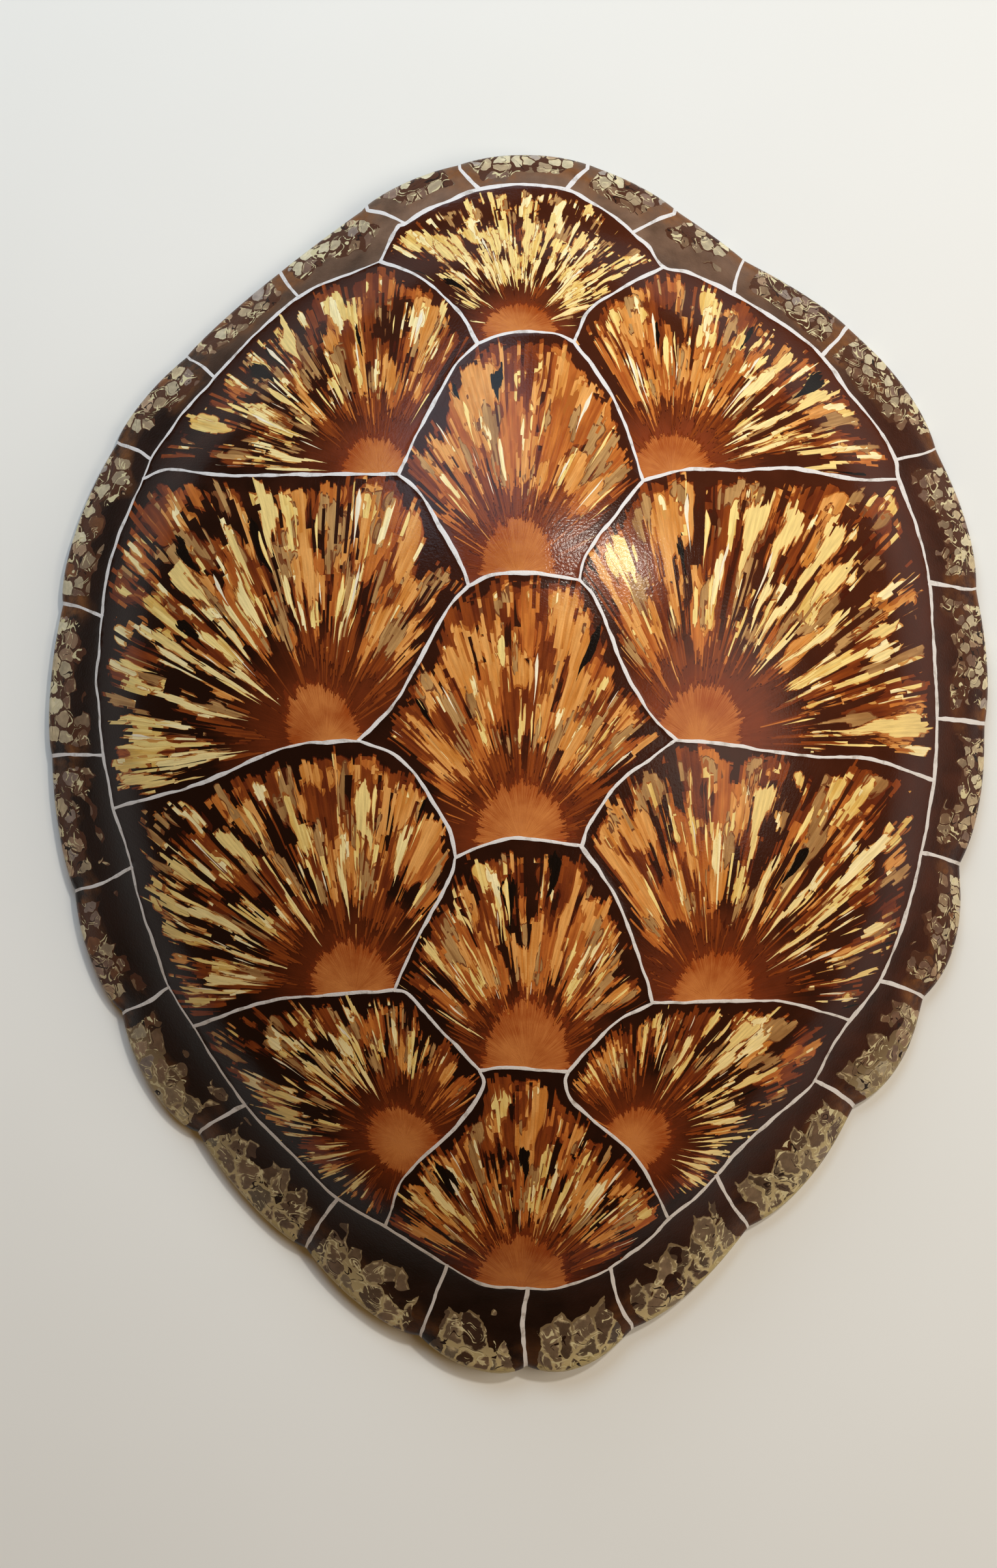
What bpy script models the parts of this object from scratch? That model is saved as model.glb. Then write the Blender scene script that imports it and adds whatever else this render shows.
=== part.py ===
"""Carapace of a young sea turtle, the domed back of the shell, lying on its rim.

One solid: a thin bone dome with a scalloped rim, open and hollow underneath. Its horny plates and the light
lines between them are only colour on this one surface, so the solid has no steps there.
Metres, +Z up, +Y towards the head. The origin is at the middle of the box's underside.
"""

import math

import bmesh
import bpy
import numpy as np

# Driving dimensions, in metres
HEIGHT = 0.118
WALL = 0.006
RIM_WALL = 0.0095
SUMMIT_Y = 0.025

# Shape of the dome
DOME_POWER = 2.3
KEEL_HEIGHT = 0.002
KEEL_HALF_WIDTH = 0.022
FLARE_DEPTH = 0.0045
FLARE_START = 0.78
SPINE_HEIGHT = 0.005
SPINE_HALF_WIDTH = 0.013
SPINE_REACH = 0.8

# The rim is lifted a little over the neck and over the tail, and lies flat between
NECK_LIFT = 0.008
TAIL_LIFT = 0.004
LIFT_HALF_ANGLE = math.radians(34)

# Section of the rim, from the dome round the edge to the inside: how far in from the outline, and height
RIM_SECTION = (
    (0.0030, 0.0092),
    (0.0012, 0.0076),
    (0.0000, 0.0050),
    (0.0007, 0.0022),
    (0.0030, 0.0000),
    (0.0085, 0.0000),
    (0.0105, 0.0014),
)

# The rim's seams from the nape to the tail, in mm: where each seam ends on the outline, and how far the
# plate that follows it stands out past its chord
RIGHT_RIM = (
    (33.7, 275.3, 2.0),
    (73.7, 254.8, 0.6),
    (104.4, 233.1, 1.8),
    (151.7, 203.0, 5.0),
    (192.9, 146.1, 4.0),
    (211.6, 81.1, 2.8),
    (215.5, 19.1, 4.0),
    (203.8, -45.6, 7.4),
    (187.2, -107.0, 7.2),
    (155.3, -157.0, 6.5),
    (106.6, -212.7, 4.8),
    (53.3, -259.0, 8.9),
)
LEFT_RIM = (
    (-28.6, 275.3, 3.0),
    (-72.2, 255.4, 0.4),
    (-110.2, 227.7, 1.4),
    (-153.8, 188.3, 3.1),
    (-185.7, 148.5, 5.2),
    (-210.4, 74.5, 3.1),
    (-215.5, 4.7, 2.7),
    (-205.0, -57.3, 5.0),
    (-183.3, -113.3, 7.5),
    (-148.1, -169.3, 5.0),
    (-98.1, -222.6, 5.6),
    (-45.8, -262.6, 8.0),
)
TAIL_SEAM = (3.6, -276.5)
NAPE_BULGE = 4.8
BULGE_SKEW = 1.2
BULGE_FULLNESS = 2.2

# Fineness of the mesh
STEPS_ON_PLATE = (0.0, 0.16, 0.38, 0.62, 0.84)
DOME_RINGS = 17
INNER_RINGS = 14
INNER_START = 0.93
INNERMOST = 0.03
RING_CROWDING = 1.25
SMOOTHING_ANGLE = math.radians(13)
PROBE = 0.002


def clear_scene():
    for obj in list(bpy.data.objects):
        bpy.data.objects.remove(obj, do_unlink=True)


def plate_edge(start, end, bulge, skew):
    """Points along one rim plate's free edge, from start up to but not including end."""
    start, end = np.array(start), np.array(end)
    along = end - start
    outward = np.array((-along[1], along[0])) / np.hypot(*along)
    points = []
    for step in STEPS_ON_PLATE:
        swell = 1 - abs(2 * step**skew - 1) ** BULGE_FULLNESS
        points.append(start + along * step + outward * bulge * swell)
    return points


def outline():
    """The scalloped outline seen from above, clockwise from the nape's left seam, centred on its box."""
    points = plate_edge(LEFT_RIM[0][:2], RIGHT_RIM[0][:2], NAPE_BULGE, 1.0)
    for plate, seam in enumerate(RIGHT_RIM):
        following = RIGHT_RIM[plate + 1][:2] if plate + 1 < len(RIGHT_RIM) else TAIL_SEAM
        points += plate_edge(seam[:2], following, seam[2], BULGE_SKEW)
    for plate in reversed(range(len(LEFT_RIM))):
        before = LEFT_RIM[plate + 1][:2] if plate + 1 < len(LEFT_RIM) else TAIL_SEAM
        points += plate_edge(before, LEFT_RIM[plate][:2], LEFT_RIM[plate][2], 1 / BULGE_SKEW)
    points = np.array(points) / 1000
    return points - (points.min(axis=0) + points.max(axis=0)) / 2


class Dome:
    """The dome's surface, read by how far out a point is (0 at the summit, 1 at the rim) on each spoke."""

    def __init__(self):
        spokes = outline() - (0, SUMMIT_Y)
        self.reach = np.hypot(spokes[:, 0], spokes[:, 1])
        self.angle = np.arctan2(spokes[:, 1], spokes[:, 0])
        self.ways = spokes / self.reach[:, None]
        self.even_reach = self.smoothed_reach()
        self.lift = self.rim_lift()

    def smoothed_reach(self):
        """The outline with its scallops evened out, which the inner part of the dome follows."""
        gap = (self.angle[:, None] - self.angle[None, :] + math.pi) % (2 * math.pi) - math.pi
        weight = np.exp(-((gap / SMOOTHING_ANGLE) ** 2))
        return weight @ self.reach / weight.sum(axis=1)

    def rim_lift(self):
        lift = np.zeros(len(self.angle))
        for middle, height in ((math.pi / 2, NECK_LIFT), (-math.pi / 2, TAIL_LIFT)):
            off = np.abs((self.angle - middle + math.pi) % (2 * math.pi) - math.pi)
            inside = off < LIFT_HALF_ANGLE
            lift[inside] += height * np.cos(off[inside] / LIFT_HALF_ANGLE * math.pi / 2) ** 2
        return lift

    def outer(self, out):
        """One ring of points on the outside."""
        edge, foot = RIM_SECTION[0]
        scallop = np.clip((out - 0.7) / 0.3, 0, 1) ** 2
        reach = self.even_reach + (self.reach - self.even_reach) * scallop - edge
        flat = self.ways * (reach * out)[:, None] + (0, SUMMIT_Y)
        rise = 1 - out**DOME_POWER
        keel = KEEL_HEIGHT * np.exp(-((flat[:, 0] / KEEL_HALF_WIDTH) ** 2)) * (1 - out**2)
        flare = min(max((out - FLARE_START) / (1 - FLARE_START), 0), 1)
        height = foot + (HEIGHT - foot - KEEL_HEIGHT) * rise + keel
        height = height - FLARE_DEPTH * math.sin(math.pi * flare) ** 2 + self.lift * out**6
        return np.column_stack((flat, height))

    def rim(self, inset, height):
        """One ring of points on the rim's rounded section."""
        flat = self.ways * (self.reach - inset)[:, None] + (0, SUMMIT_Y)
        return np.column_stack((flat, height + self.lift))

    def inner(self, out):
        """One ring of points on the underside, the wall's thickness in from the outside."""
        ring = self.outer(out)
        down_slope = self.outer(out + PROBE) - self.outer(out - PROBE)
        around = np.roll(ring, -1, axis=0) - np.roll(ring, 1, axis=0)
        normal = np.cross(down_slope, around)
        normal *= np.sign(normal[:, 2:]) / np.linalg.norm(normal, axis=1)[:, None]
        rim_share = np.clip((out - 0.6) / (INNER_START - 0.6), 0, 1) ** 2
        wall = WALL + (RIM_WALL - WALL) * rim_share
        spine = np.exp(-((ring[:, 0] / SPINE_HALF_WIDTH) ** 2))
        spine = SPINE_HEIGHT * spine * np.clip((SPINE_REACH - out) / 0.2, 0, 1)
        return ring - normal * (wall + spine)[:, None]


def add_ring(mesh, points):
    return [mesh.verts.new(point) for point in points]


def bridge(mesh, outer_ring, inner_ring):
    count = len(outer_ring)
    for here in range(count):
        following = (here + 1) % count
        mesh.faces.new((outer_ring[here], outer_ring[following], inner_ring[following], inner_ring[here]))


def fan(mesh, ring, tip, upward):
    count = len(ring)
    for here in range(count):
        corners = (ring[here], ring[(here + 1) % count], tip)
        mesh.faces.new(corners if upward else corners[::-1])


def ring_places(count, last):
    """How far out each ring lies, closer together towards the rim."""
    return [last * (1 - (1 - ring / count) ** RING_CROWDING) for ring in range(1, count + 1)]


def carapace_mesh():
    dome = Dome()
    mesh = bmesh.new()
    summit = mesh.verts.new((0, SUMMIT_Y, HEIGHT))
    roof = mesh.verts.new((0, SUMMIT_Y, HEIGHT - WALL - SPINE_HEIGHT))
    rings = [add_ring(mesh, dome.outer(out)) for out in ring_places(DOME_RINGS, 1.0)]
    rings += [add_ring(mesh, dome.rim(inset, height)) for inset, height in RIM_SECTION[1:]]
    inside = [INNERMOST] + ring_places(INNER_RINGS, INNER_START)
    rings += [add_ring(mesh, dome.inner(out)) for out in reversed(inside)]
    fan(mesh, rings[0], summit, True)
    for here, following in zip(rings[:-1], rings[1:]):
        bridge(mesh, here, following)
    fan(mesh, rings[-1], roof, False)
    bmesh.ops.recalc_face_normals(mesh, faces=mesh.faces)
    return mesh


def horn_material():
    """Dark brown and amber horn under a satin varnish."""
    material = bpy.data.materials.new("varnished_horn")
    material.use_nodes = True
    shader = material.node_tree.nodes["Principled BSDF"]
    shader.inputs["Base Color"].default_value = (0.16, 0.05, 0.017, 1)
    shader.inputs["Roughness"].default_value = 0.35
    shader.inputs["Metallic"].default_value = 0.0
    return material


def build_carapace():
    mesh = carapace_mesh()
    data = bpy.data.meshes.new("carapace")
    mesh.to_mesh(data)
    mesh.free()
    data.materials.append(horn_material())
    data.shade_smooth()
    data.set_sharp_from_angle(angle=math.radians(50))
    carapace = bpy.data.objects.new("carapace", data)
    bpy.context.scene.collection.objects.link(carapace)


clear_scene()
build_carapace()
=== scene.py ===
"""Makes the looks of a varnished sea turtle carapace, its dome open underneath, on a pale studio floor.

It is laid out as an add-on: property groups hold the sizes and colours, and one operator makes each thing.
The carapace is one mesh. A primitive can't give its edges that follow the painted seams, so it is
triangulated in plan in code, raised onto the dome, and then finished with Blender's own operators.
Metres, +Z up, +Y towards the head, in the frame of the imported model.
"""

import math
from functools import partial

import bpy
import numpy as np
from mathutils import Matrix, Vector, noise
from mathutils.geometry import delaunay_2d_cdt
from mathutils.kdtree import KDTree


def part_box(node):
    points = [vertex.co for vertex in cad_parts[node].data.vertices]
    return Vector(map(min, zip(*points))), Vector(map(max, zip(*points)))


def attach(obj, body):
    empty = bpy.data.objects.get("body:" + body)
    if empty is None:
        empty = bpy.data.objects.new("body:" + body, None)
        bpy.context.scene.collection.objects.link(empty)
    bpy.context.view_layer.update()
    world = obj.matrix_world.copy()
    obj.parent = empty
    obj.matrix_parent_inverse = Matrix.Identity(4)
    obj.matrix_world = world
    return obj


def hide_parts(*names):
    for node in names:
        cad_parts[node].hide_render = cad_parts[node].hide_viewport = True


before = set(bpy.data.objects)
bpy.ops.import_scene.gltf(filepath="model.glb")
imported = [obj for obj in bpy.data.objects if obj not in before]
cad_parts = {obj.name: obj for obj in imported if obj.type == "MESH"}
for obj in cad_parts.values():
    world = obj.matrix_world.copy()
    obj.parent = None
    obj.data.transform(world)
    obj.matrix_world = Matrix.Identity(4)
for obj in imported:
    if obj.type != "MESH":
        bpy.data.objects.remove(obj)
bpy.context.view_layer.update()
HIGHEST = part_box("carapace")[1]

bl_info = {
    "name": "Sea turtle carapace",
    "version": (1, 0, 0),
    "blender": (4, 5, 0),
    "location": "3D View > Sidebar > Carapace",
    "description": "Makes a varnished sea turtle carapace and the studio it lies in",
    "category": "Object",
}

TURN = 2 * math.pi
SUMMIT_Y = 0.025
DOME_POWER = 2.3
KEEL_HEIGHT = 0.002
KEEL_HALF_WIDTH = 0.022
FLARE_DEPTH = 0.0045
FLARE_START = 0.78
NECK_LIFT = 0.008
TAIL_LIFT = 0.004
LIFT_HALF_ANGLE = math.radians(34)
WALL = 0.006
RIM_WALL = 0.0095
SPINE_HEIGHT = 0.005
SPINE_HALF_WIDTH = 0.013

# Section of the rim from the dome round the edge to the inside, as on the solid: distance in, height
RIM_SECTION = (
    (0.0030, 0.0092),
    (0.0012, 0.0076),
    (0.0000, 0.0050),
    (0.0007, 0.0022),
    (0.0030, 0.0000),
    (0.0085, 0.0000),
    (0.0105, 0.0014),
)
EDGE_INSET, EDGE_HEIGHT = RIM_SECTION[0]
RIM_LEVEL = RIM_SECTION[2][1]

# Where the rim's seams end on the outline from the nape to the tail, and how far the plate that follows
# stands out, in mm. These repeat the solid's own values.
RIGHT_RIM = (
    (33.7, 275.3, 2.0),
    (73.7, 254.8, 0.6),
    (104.4, 233.1, 1.8),
    (151.7, 203.0, 5.0),
    (192.9, 146.1, 4.0),
    (211.6, 81.1, 2.8),
    (215.5, 19.1, 4.0),
    (203.8, -45.6, 7.4),
    (187.2, -107.0, 7.2),
    (155.3, -157.0, 6.5),
    (106.6, -212.7, 4.8),
    (53.3, -259.0, 8.9),
)
LEFT_RIM = (
    (-28.6, 275.3, 3.0),
    (-72.2, 255.4, 0.4),
    (-110.2, 227.7, 1.4),
    (-153.8, 188.3, 3.1),
    (-185.7, 148.5, 5.2),
    (-210.4, 74.5, 3.1),
    (-215.5, 4.7, 2.7),
    (-205.0, -57.3, 5.0),
    (-183.3, -113.3, 7.5),
    (-148.1, -169.3, 5.0),
    (-98.1, -222.6, 5.6),
    (-45.8, -262.6, 8.0),
)
TAIL_SEAM = (3.6, -276.5)
NAPE_BULGE = 4.8
BULGE_SKEW = 1.2
BULGE_FULLNESS = 2.2

# The line between the rim plates and the back's scutes, clockwise from the left corner of the first scute.
# Here and below, places are in mm as the camera sees them, at the scale of the rim.
RING = (
    (-63.8, 233.1), (-56.3, 248.5), (-52.7, 250.6), (-42.7, 256.6), (-29.2, 262.3), (-17.8, 266.5),
    (2.7, 268.6), (22.3, 266.2), (32.5, 261.1), (46.1, 252.4), (52.7, 246.4), (60.2, 239.7), (67.4, 230.4),
    (79.5, 227.4), (99.3, 218.1), (122.8, 203.6), (140.3, 189.5), (152.9, 172.3), (168.0, 153.4),
    (174.3, 141.3), (175.8, 132.3), (184.2, 109.7), (189.9, 84.7), (192.3, 49.8), (193.5, 21.8),
    (192.9, 4.4), (192.0, -6.8), (186.3, -40.2), (177.0, -75.4), (167.1, -99.5), (153.5, -117.5),
    (145.1, -129.9), (137.0, -145.5), (127.3, -155.2), (111.4, -168.7), (102.0, -177.7), (91.5, -189.5),
    (81.3, -200.0), (69.5, -209.6), (60.5, -219.0), (42.4, -232.5), (26.8, -239.1), (14.1, -241.9),
    (4.2, -241.6), (-12.9, -240.6), (-21.1, -237.9), (-33.1, -231.0), (-47.6, -222.0), (-61.4, -213.3),
    (-83.4, -200.3), (-98.4, -185.9), (-112.3, -172.0), (-126.4, -156.7), (-141.5, -135.0),
    (-150.2, -120.6), (-161.6, -102.5), (-167.4, -85.9), (-173.7, -67.6), (-178.8, -46.8), (-181.2, -38.1),
    (-187.2, -19.7), (-190.5, -2.9), (-192.0, 4.7), (-194.1, 27.2), (-195.3, 40.8), (-194.1, 50.4),
    (-192.6, 68.8), (-189.3, 92.0), (-183.3, 110.3), (-173.4, 132.6), (-170.1, 141.9), (-163.7, 151.0),
    (-155.0, 163.0), (-140.6, 179.2), (-130.0, 190.7), (-119.2, 201.8), (-101.7, 216.6), (-89.1, 223.2),
    (-74.6, 228.6),
)

# The points of RING where the rim's seams meet it, in the order of RIGHT_RIM and LEFT_RIM
RIGHT_ENDS = (7, 10, 14, 16, 19, 22, 24, 27, 29, 32, 36, 40)
LEFT_ENDS = (5, 2, 76, 73, 70, 66, 62, 58, 55, 52, 49, 46)
TAIL_END = 43

# The seams between the scutes: five along the back (v) and four down each side (l, r)
SEAMS = {
    "v1_l1": ((-63.8, 233.1), (-46.7, 226.2), (-28.3, 210.9), (-18.7, 195.2)),
    "v1_v2": ((-18.7, 195.2), (-5.1, 200.0), (16.0, 200.0), (25.6, 195.8)),
    "v1_r1": ((67.4, 230.4), (53.6, 223.8), (33.4, 211.2), (25.6, 195.8)),
    "v2_l1": ((-18.7, 195.2), (-29.2, 184.7), (-43.6, 159.1), (-55.7, 134.7)),
    "v2_r1": ((25.6, 195.8), (35.2, 183.5), (47.9, 161.2), (57.5, 131.7)),
    "l1_l2": ((-173.4, 132.6), (-161.6, 136.8), (-139.7, 134.4), (-112.6, 134.4), (-55.7, 134.7)),
    "r1_r2": ((57.5, 131.7), (78.0, 136.8), (103.2, 136.5), (126.4, 137.4), (156.2, 132.3), (175.8, 132.3)),
    "v2_l2": ((-55.7, 134.7), (-46.7, 126.9), (-36.1, 110.3), (-27.4, 95.0), (-22.9, 83.5)),
    "v2_v3": ((-22.9, 83.5), (-12.0, 88.0), (7.2, 88.9), (28.3, 85.6)),
    "v2_r2": ((57.5, 131.7), (43.0, 113.3), (31.6, 97.7), (28.3, 85.6)),
    "v3_l2": ((-22.9, 83.5), (-33.1, 71.8), (-46.7, 46.8), (-59.3, 26.3), (-74.0, 11.6)),
    "v3_r2": ((28.3, 85.6), (36.4, 75.7), (48.8, 44.7), (61.4, 23.6), (72.8, 11.9)),
    "l2_l3": ((-74.0, 11.6), (-99.9, 10.1), (-120.1, 3.8), (-149.0, -8.9), (-187.2, -19.7)),
    "r2_r3": ((72.8, 11.9), (92.4, 10.4), (114.7, 6.8), (137.0, 4.1), (162.5, 2.9), (192.0, -6.8)),
    "v3_l3": ((-74.0, 11.6), (-58.4, 5.6), (-47.6, -4.4), (-38.5, -18.2), (-31.6, -30.3), (-28.9, -42.0)),
    "v3_r3": ((72.8, 11.9), (60.5, 2.9), (46.1, -8.3), (33.4, -26.0), (28.9, -37.2)),
    "v3_v4": ((-28.9, -42.0), (-18.4, -37.8), (-0.3, -33.6), (28.9, -37.2)),
    "v4_l3": ((-28.9, -42.0), (-33.1, -54.9), (-47.6, -82.0), (-57.5, -104.0)),
    "v4_r3": ((28.9, -37.2), (45.1, -61.0), (58.1, -96.2), (62.0, -109.7)),
    "l3_l4": ((-57.5, -104.0), (-76.8, -105.2), (-101.4, -107.0), (-119.8, -109.7), (-150.2, -120.6)),
    "r3_r4": ((62.0, -109.7), (76.5, -109.4), (117.7, -108.8), (140.3, -113.6), (153.5, -117.5)),
    "v4_l4": ((-57.5, -104.0), (-50.6, -106.1), (-40.0, -117.5), (-18.1, -140.7)),
    "v4_r4": ((62.0, -109.7), (47.6, -116.9), (38.2, -125.1), (22.9, -141.6)),
    "v4_v5": ((-18.1, -140.7), (-5.1, -139.5), (22.9, -141.6)),
    "v5_l4": (
        (-18.1, -140.7), (-16.6, -148.8), (-27.7, -165.7), (-47.6, -184.4), (-55.4, -194.9), (-61.4, -213.3),
    ),
    "v5_r4": (
        (22.9, -141.6), (21.4, -146.4), (24.4, -154.6), (34.9, -164.2), (55.7, -183.2), (69.5, -209.6),
    ),
}

# Each scute's growth centre, the way its fan points (degrees from +X), its areola's half width and height,
# and how large its fan's pattern is and how near to the seams it comes
GROWTH = {
    "v1": ((0.6, 201.0), 90, 15.6, 13.0, 0.5, 1.9),
    "v2": ((-0.3, 88.0), 90, 15.8, 25.0, 0.85, 1.35),
    "v3": ((1.2, -35.0), 90, 18.8, 24.5, 0.85, 1.35),
    "v4": ((3.6, -140.5), 90, 18.5, 30.0, 0.8, 1.35),
    "v5": ((1.2, -241.5), 90, 20.8, 27.0, 0.8, 1.35),
    "l1": ((-65.0, 134.0), 118, 14.0, 18.0, 0.8, 1.35),
    "l2": ((-89.1, 10.5), 110, 15.5, 26.5, 1.0, 1.35),
    "l3": ((-75.6, -105.0), 108, 18.4, 22.0, 0.9, 1.35),
    "l4": ((-53.0, -174.0), 140, 14.0, 17.5, 0.7, 1.35),
    "r1": ((71.0, 134.0), 62, 17.6, 19.5, 0.8, 1.35),
    "r2": ((82.5, 11.0), 70, 18.0, 25.0, 1.0, 1.35),
    "r3": ((89.1, -109.5), 72, 17.8, 23.0, 0.9, 1.35),
    "r4": ((53.0, -174.0), 40, 14.0, 17.5, 0.7, 1.35),
}


def srgb(code):
    """A colour from its sRGB hex code, as linear numbers."""
    parts = [int(code[place : place + 2], 16) / 255 for place in (1, 3, 5)]
    return [part / 12.92 if part <= 0.04045 else ((part + 0.055) / 1.055) ** 2.4 for part in parts] + [1.0]


def colour_property(name, description, code):
    return bpy.props.FloatVectorProperty(
        name=name, description=description, subtype="COLOR", size=4, min=0, max=1, default=srgb(code)
    )


class CarapaceSizes(bpy.types.PropertyGroup):
    height: bpy.props.FloatProperty(
        name="Height", description="Height of the dome above the floor", default=HIGHEST.z, unit="LENGTH"
    )
    seam_width: bpy.props.FloatProperty(
        name="Seam width", description="Usual width of a painted seam line", default=0.0013, unit="LENGTH"
    )
    seam_body: bpy.props.FloatProperty(
        name="Seam body", description="How far the seam paint stands up", default=0.00018, unit="LENGTH"
    )
    top_grid: bpy.props.FloatProperty(
        name="Top grid", description="Spacing of the mesh on the outside", default=0.0024, unit="LENGTH"
    )
    hollow_grid: bpy.props.FloatProperty(
        name="Hollow grid", description="Spacing of the mesh on the underside", default=0.0048, unit="LENGTH"
    )
    seed: bpy.props.IntProperty(name="Seed", description="Start of the random draws", default=11)


class CarapaceColours(bpy.types.PropertyGroup):
    ground: colour_property("Ground", "Dark horn between the strokes", "#200e08")
    ground_warm: colour_property("Warm ground", "Horn near a growth centre", "#682b12")
    seam: colour_property("Seam", "Paint of the seam lines", "#dad5d3")
    bone: colour_property("Bone", "Bare bone of the underside", "#cbb88f")


class StudioSettings(bpy.types.PropertyGroup):
    camera_height: bpy.props.FloatProperty(
        name="Camera height", description="Camera above the floor", default=1.1, unit="LENGTH"
    )
    frame_height: bpy.props.FloatProperty(
        name="Frame height", description="Length that fills the picture's height at the rim", default=0.7248,
        unit="LENGTH",
    )
    aim: bpy.props.FloatVectorProperty(
        name="Aim", description="Point of the floor under the camera", size=2, default=(-0.0092, -0.0086),
        unit="LENGTH",
    )
    floor: colour_property("Floor", "Pale floor", "#e4e4e2")


# Shape of the dome


def plate_edge(start, end, bulge, skew, steps):
    """Points along one rim plate's free edge, from start up to but not including end."""
    start, end = np.array(start), np.array(end)
    along = end - start
    outward = np.array((-along[1], along[0])) / np.hypot(*along)
    step = np.linspace(0, 1, steps, endpoint=False)[:, None]
    swell = 1 - np.abs(2 * step**skew - 1) ** BULGE_FULLNESS
    return start + along * step + outward * bulge * swell


def outline(steps):
    """The scalloped outline seen from above, clockwise from the nape's left seam, and its box's middle."""
    edges = [plate_edge(LEFT_RIM[0][:2], RIGHT_RIM[0][:2], NAPE_BULGE, 1.0, steps)]
    for plate, seam in enumerate(RIGHT_RIM):
        following = RIGHT_RIM[plate + 1][:2] if plate + 1 < len(RIGHT_RIM) else TAIL_SEAM
        edges.append(plate_edge(seam[:2], following, seam[2], BULGE_SKEW, steps))
    for plate in reversed(range(len(LEFT_RIM))):
        before = LEFT_RIM[plate + 1][:2] if plate + 1 < len(LEFT_RIM) else TAIL_SEAM
        edges.append(plate_edge(before, LEFT_RIM[plate][:2], LEFT_RIM[plate][2], 1 / BULGE_SKEW, steps))
    points = np.concatenate(edges) / 1000
    middle = (points.min(axis=0) + points.max(axis=0)) / 2
    return points - middle, middle


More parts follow.
